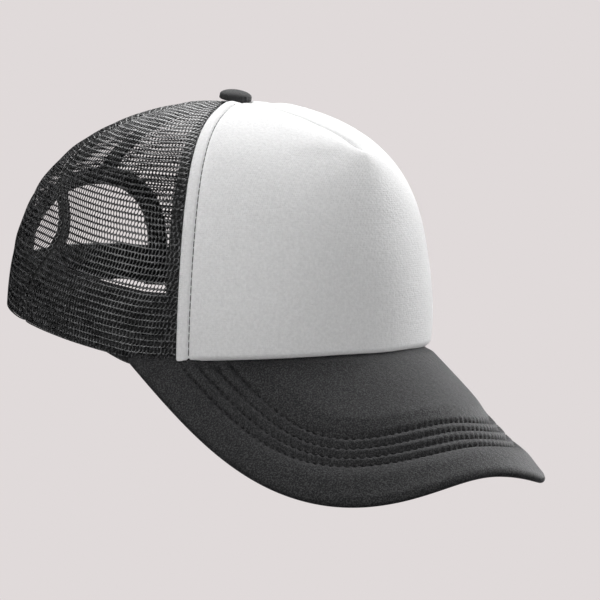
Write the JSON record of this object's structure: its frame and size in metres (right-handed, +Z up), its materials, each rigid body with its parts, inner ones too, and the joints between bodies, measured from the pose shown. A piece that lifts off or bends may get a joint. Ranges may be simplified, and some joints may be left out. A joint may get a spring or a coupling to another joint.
{
  "type": "trucker cap",
  "caption": "Trucker cap: padded foam front with a dart, net sides and back, bent stitched brim, covered button, sweatband and a snap strap across an arched rear opening.",
  "frame": {"origin": "middle of the head opening, in the plane of the lower edge at the back of the cap", "axes": "+Z up through the crown, -Y forwards over the brim, +X to the wearer's left"},
  "size_m": [0.1692, 0.2657, 0.1409],
  "materials": {
    "foam_front": "white knit face laminated to soft foam, matt",
    "net": "black knitted polyester net",
    "tape": "black woven tape, matt",
    "sweatband": "black cotton twill, matt",
    "brim_fabric": "black knit laminated to foam, matt, stitched rows",
    "board": "moulded polyethylene sheet",
    "button_fabric": "black fabric drawn over a metal shell",
    "rivet": "plain steel",
    "strap": "moulded black polyethylene, slight sheen"
  },
  "bodies": {
    "crown": {"front_panel": "foam_front", "side_panel_right": "net", "side_panel_left": "net", "rear_panel_right": "net", "rear_panel_left": "net", "front_seam_tape_right": "tape", "front_seam_tape_left": "tape", "side_seam_tape_right": "tape", "side_seam_tape_left": "tape", "back_seam_tape": "tape", "hem_tape_right": "tape", "hem_tape_left": "tape", "opening_binding": "tape", "sweatband": "sweatband", "brim_top_cover": "brim_fabric", "brim_board": "board", "brim_bottom_cover": "brim_fabric", "button_top": "button_fabric", "button_rivet": "rivet", "strap_tab_right": "strap", "strap_tab_left": "strap"},
    "peg_strap": {"peg_strap": "strap"},
    "hole_strap": {"hole_strap": "strap"}
  },
  "joints": [
    {"name": "peg_strap_bend", "type": "hinge", "parent": "crown", "child": "peg_strap", "pos_m": [-0.03161, 0.09735, 0.01], "axis": [0, 0, -1], "range_deg": [0, 40], "stiffness_Nm_per_rad": 0.01},
    {"name": "hole_strap_bend", "type": "hinge", "parent": "crown", "child": "hole_strap", "pos_m": [0.03161, 0.09735, 0.01], "axis": [0, 0, -1], "range_deg": [0, 70], "stiffness_Nm_per_rad": 0.01}
  ]
}
